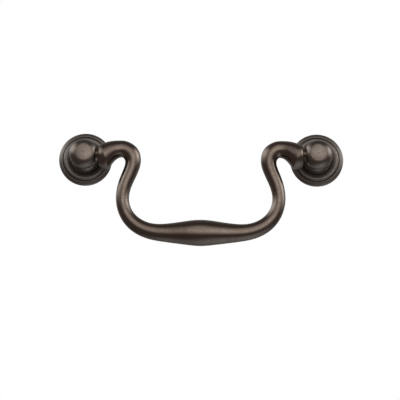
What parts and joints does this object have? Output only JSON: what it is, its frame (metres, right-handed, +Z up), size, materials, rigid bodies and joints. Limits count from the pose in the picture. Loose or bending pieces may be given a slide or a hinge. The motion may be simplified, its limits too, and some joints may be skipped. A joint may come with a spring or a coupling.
{
  "type": "bail pull",
  "caption": "Swan-neck bail pull: a swelling round grip hangs from flared heads that pivot on pins in turned ball posts, each standing on a moulded round rosette.",
  "frame": {"origin": "on the drawer face, midway between the two fixing holes and level with the bail's pivot axis", "axes": "as mounted on an upright drawer front: +X along the width to the right as the user sees it, +Y into the drawer front, so the face is the plane y = 0 and the pull stands on its -Y side, +Z up"},
  "size_m": [0.118, 0.0176, 0.0491],
  "materials": {
    "dark_bronze": "satin dark bronze patina over cast brass, faintly mottled, with slightly worn edges"
  },
  "bodies": {
    "posts": {"left_post": "dark_bronze", "right_post": "dark_bronze", "left_rosette": "dark_bronze", "right_rosette": "dark_bronze"},
    "bail": {"bail": "dark_bronze"}
  },
  "joints": [
    {"name": "bail_swing", "type": "hinge", "parent": "posts", "child": "bail", "pos_m": [0, -0.0123, 0], "axis": [-1, 0, 0], "range_deg": [-12, 192]}
  ]
}
